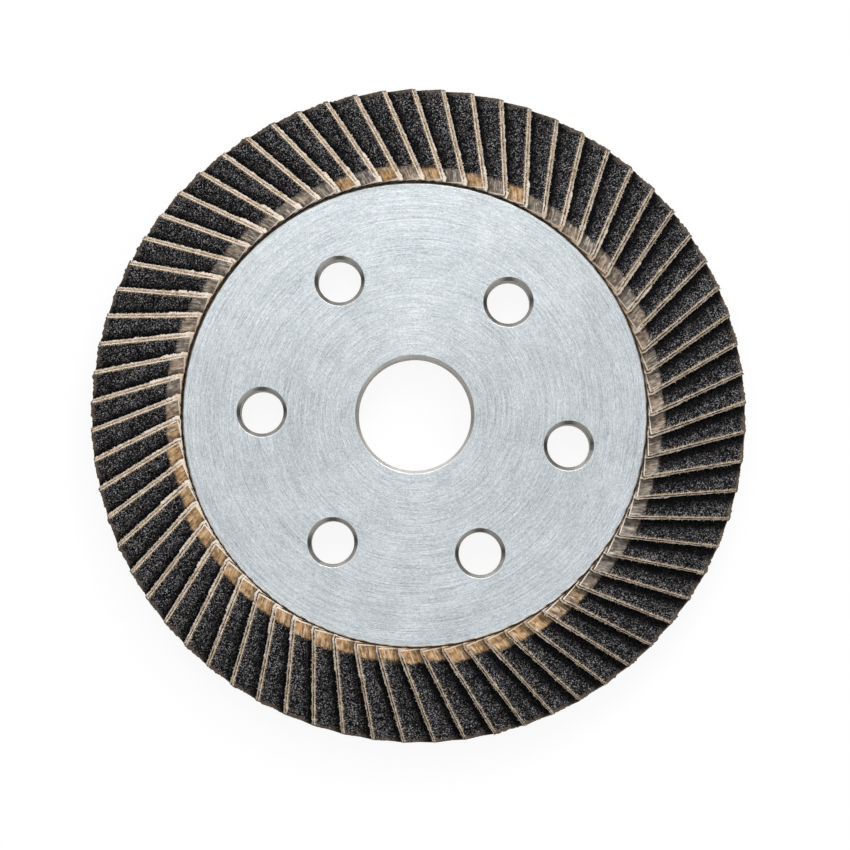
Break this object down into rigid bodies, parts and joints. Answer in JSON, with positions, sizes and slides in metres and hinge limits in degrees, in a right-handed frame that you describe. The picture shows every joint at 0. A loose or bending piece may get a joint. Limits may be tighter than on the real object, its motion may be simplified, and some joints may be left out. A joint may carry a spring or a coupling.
{
  "type": "abrasive flap disc",
  "caption": "Round abrasive disc with a flat metal hub plate, centre bore and vent holes, ringed by overlapping coated cloth flaps for grinding and finishing.",
  "frame": {"origin": "on the bore axis at the flat back face of the hub plate", "axes": "+Z along the bore axis, out of the working face; +Y towards the top of the disc as it is shown"},
  "size_m": [0.129, 0.129, 0.0099],
  "materials": {
    "hub_metal": "turned and brushed in rings, satin",
    "cured_adhesive": "cured amber resin",
    "coated_cloth": "dark abrasive grain on tan cloth, edges frayed"
  },
  "bodies": {
    "root": {"hub_plate": "hub_metal", "adhesive_bed": "cured_adhesive", "flaps_01": "coated_cloth", "flaps_02": "coated_cloth", "flaps_03": "coated_cloth", "flaps_04": "coated_cloth", "flaps_05": "coated_cloth", "flaps_06": "coated_cloth", "flaps_07": "coated_cloth", "flaps_08": "coated_cloth", "flaps_09": "coated_cloth", "flaps_10": "coated_cloth", "flaps_11": "coated_cloth", "flaps_12": "coated_cloth", "flaps_13": "coated_cloth", "flaps_14": "coated_cloth", "flaps_15": "coated_cloth", "flaps_16": "coated_cloth", "flaps_17": "coated_cloth", "flaps_18": "coated_cloth", "flaps_19": "coated_cloth", "flaps_20": "coated_cloth", "flaps_21": "coated_cloth", "flaps_22": "coated_cloth", "flaps_23": "coated_cloth"}
  },
  "joints": []
}
